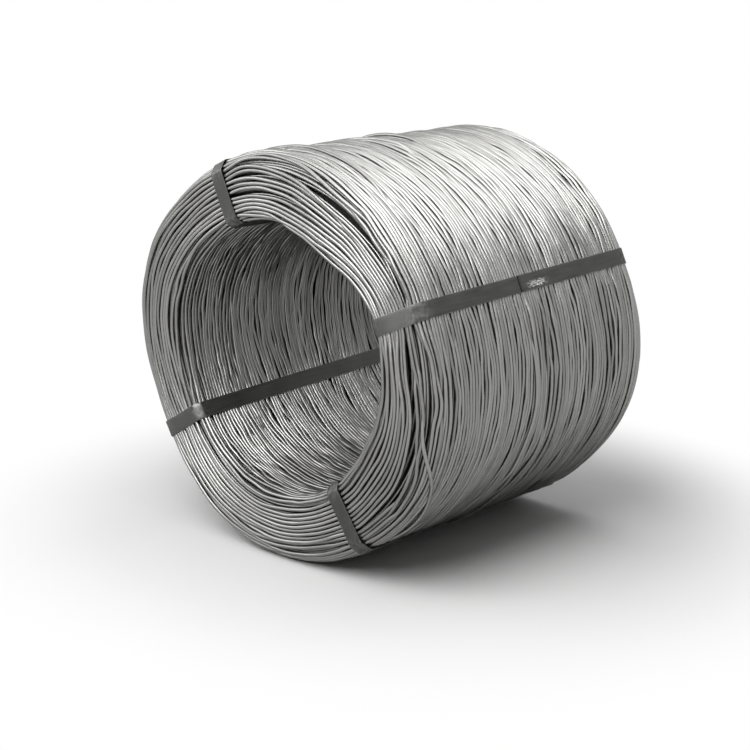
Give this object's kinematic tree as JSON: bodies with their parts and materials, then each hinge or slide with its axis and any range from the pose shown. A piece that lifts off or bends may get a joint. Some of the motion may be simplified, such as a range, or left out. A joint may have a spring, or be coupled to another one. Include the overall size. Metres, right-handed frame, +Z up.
{
  "type": "coil of steel wire",
  "caption": "Coil of bright round steel wire lying on its side, wound as a thick ring with an open eye and bound round its section by flat dark steel straps.",
  "frame": {"origin": "on the floor, under the middle of the coil", "axes": "+Z up, +Y along the coil's axis from its front end to its rear end, +X to the right as seen from the front end"},
  "size_m": [0.587, 0.464, 0.587],
  "materials": {
    "wire": "bright galvanised drawn wire",
    "strap": "dark blued steel strapping, satin"
  },
  "bodies": {
    "root": {"wire_coil": "wire", "strap_right": "strap", "strap_top": "strap", "strap_left": "strap", "strap_bottom": "strap"}
  },
  "joints": []
}
